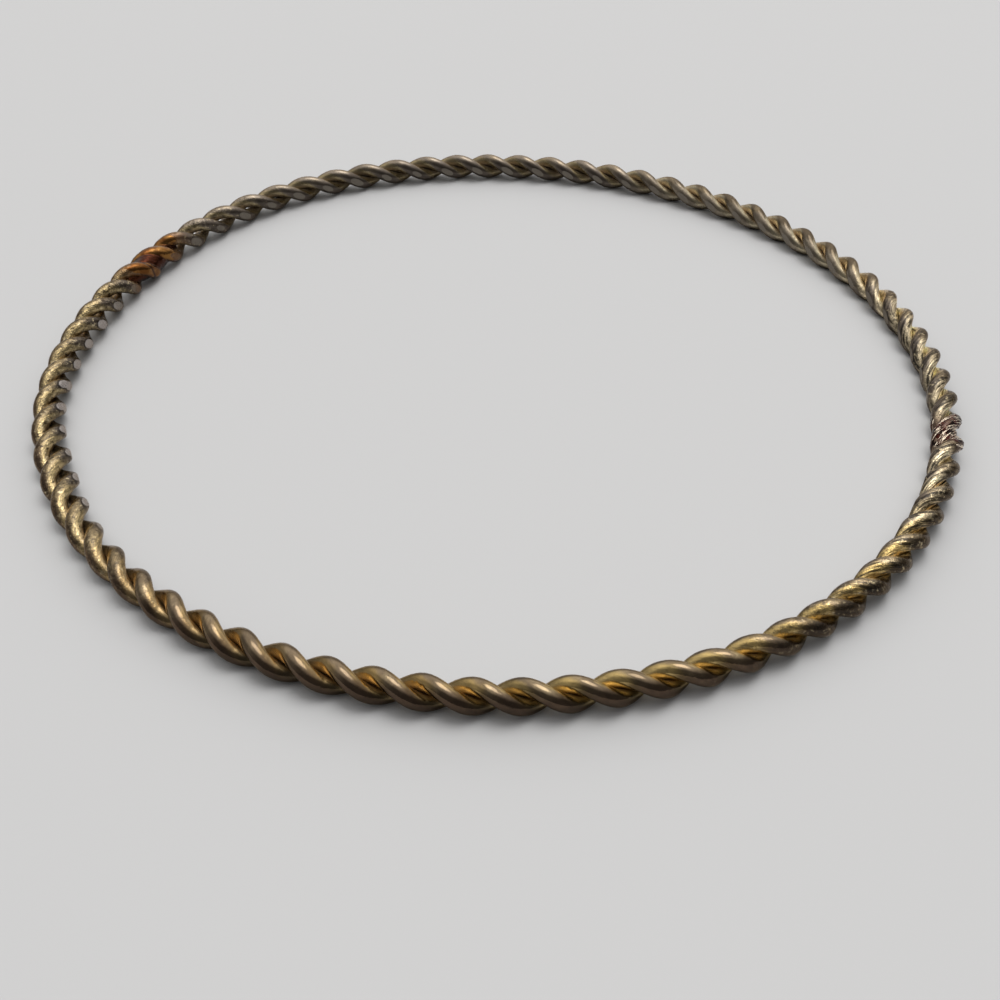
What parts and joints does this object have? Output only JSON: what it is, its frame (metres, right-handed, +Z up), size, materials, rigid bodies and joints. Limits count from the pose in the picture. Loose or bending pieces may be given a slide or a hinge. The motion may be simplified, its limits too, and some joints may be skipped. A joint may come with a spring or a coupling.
{
  "type": "twisted wire bangle",
  "caption": "Closed bangle of tarnished brass wires twisted about each other, worn flat inside, with soldered joints.",
  "frame": {"origin": "under the middle of the ring, on the surface that it lies on", "axes": "+Z up along the ring's axis; the soldered joint of strand_a lies near -X and the joint of strand_b near +X"},
  "size_m": [0.0698, 0.0703, 0.0025],
  "materials": {
    "strand_a": "tarnished drawn wire, finely pitted, dark in the grooves, with a copper-coloured soldered joint",
    "strand_b": "tarnished drawn wire, finely pitted, dark in the grooves, with a rough dark red-brown soldered joint"
  },
  "bodies": {
    "root": {"strand_a": "strand_a", "strand_b": "strand_b"}
  },
  "joints": []
}
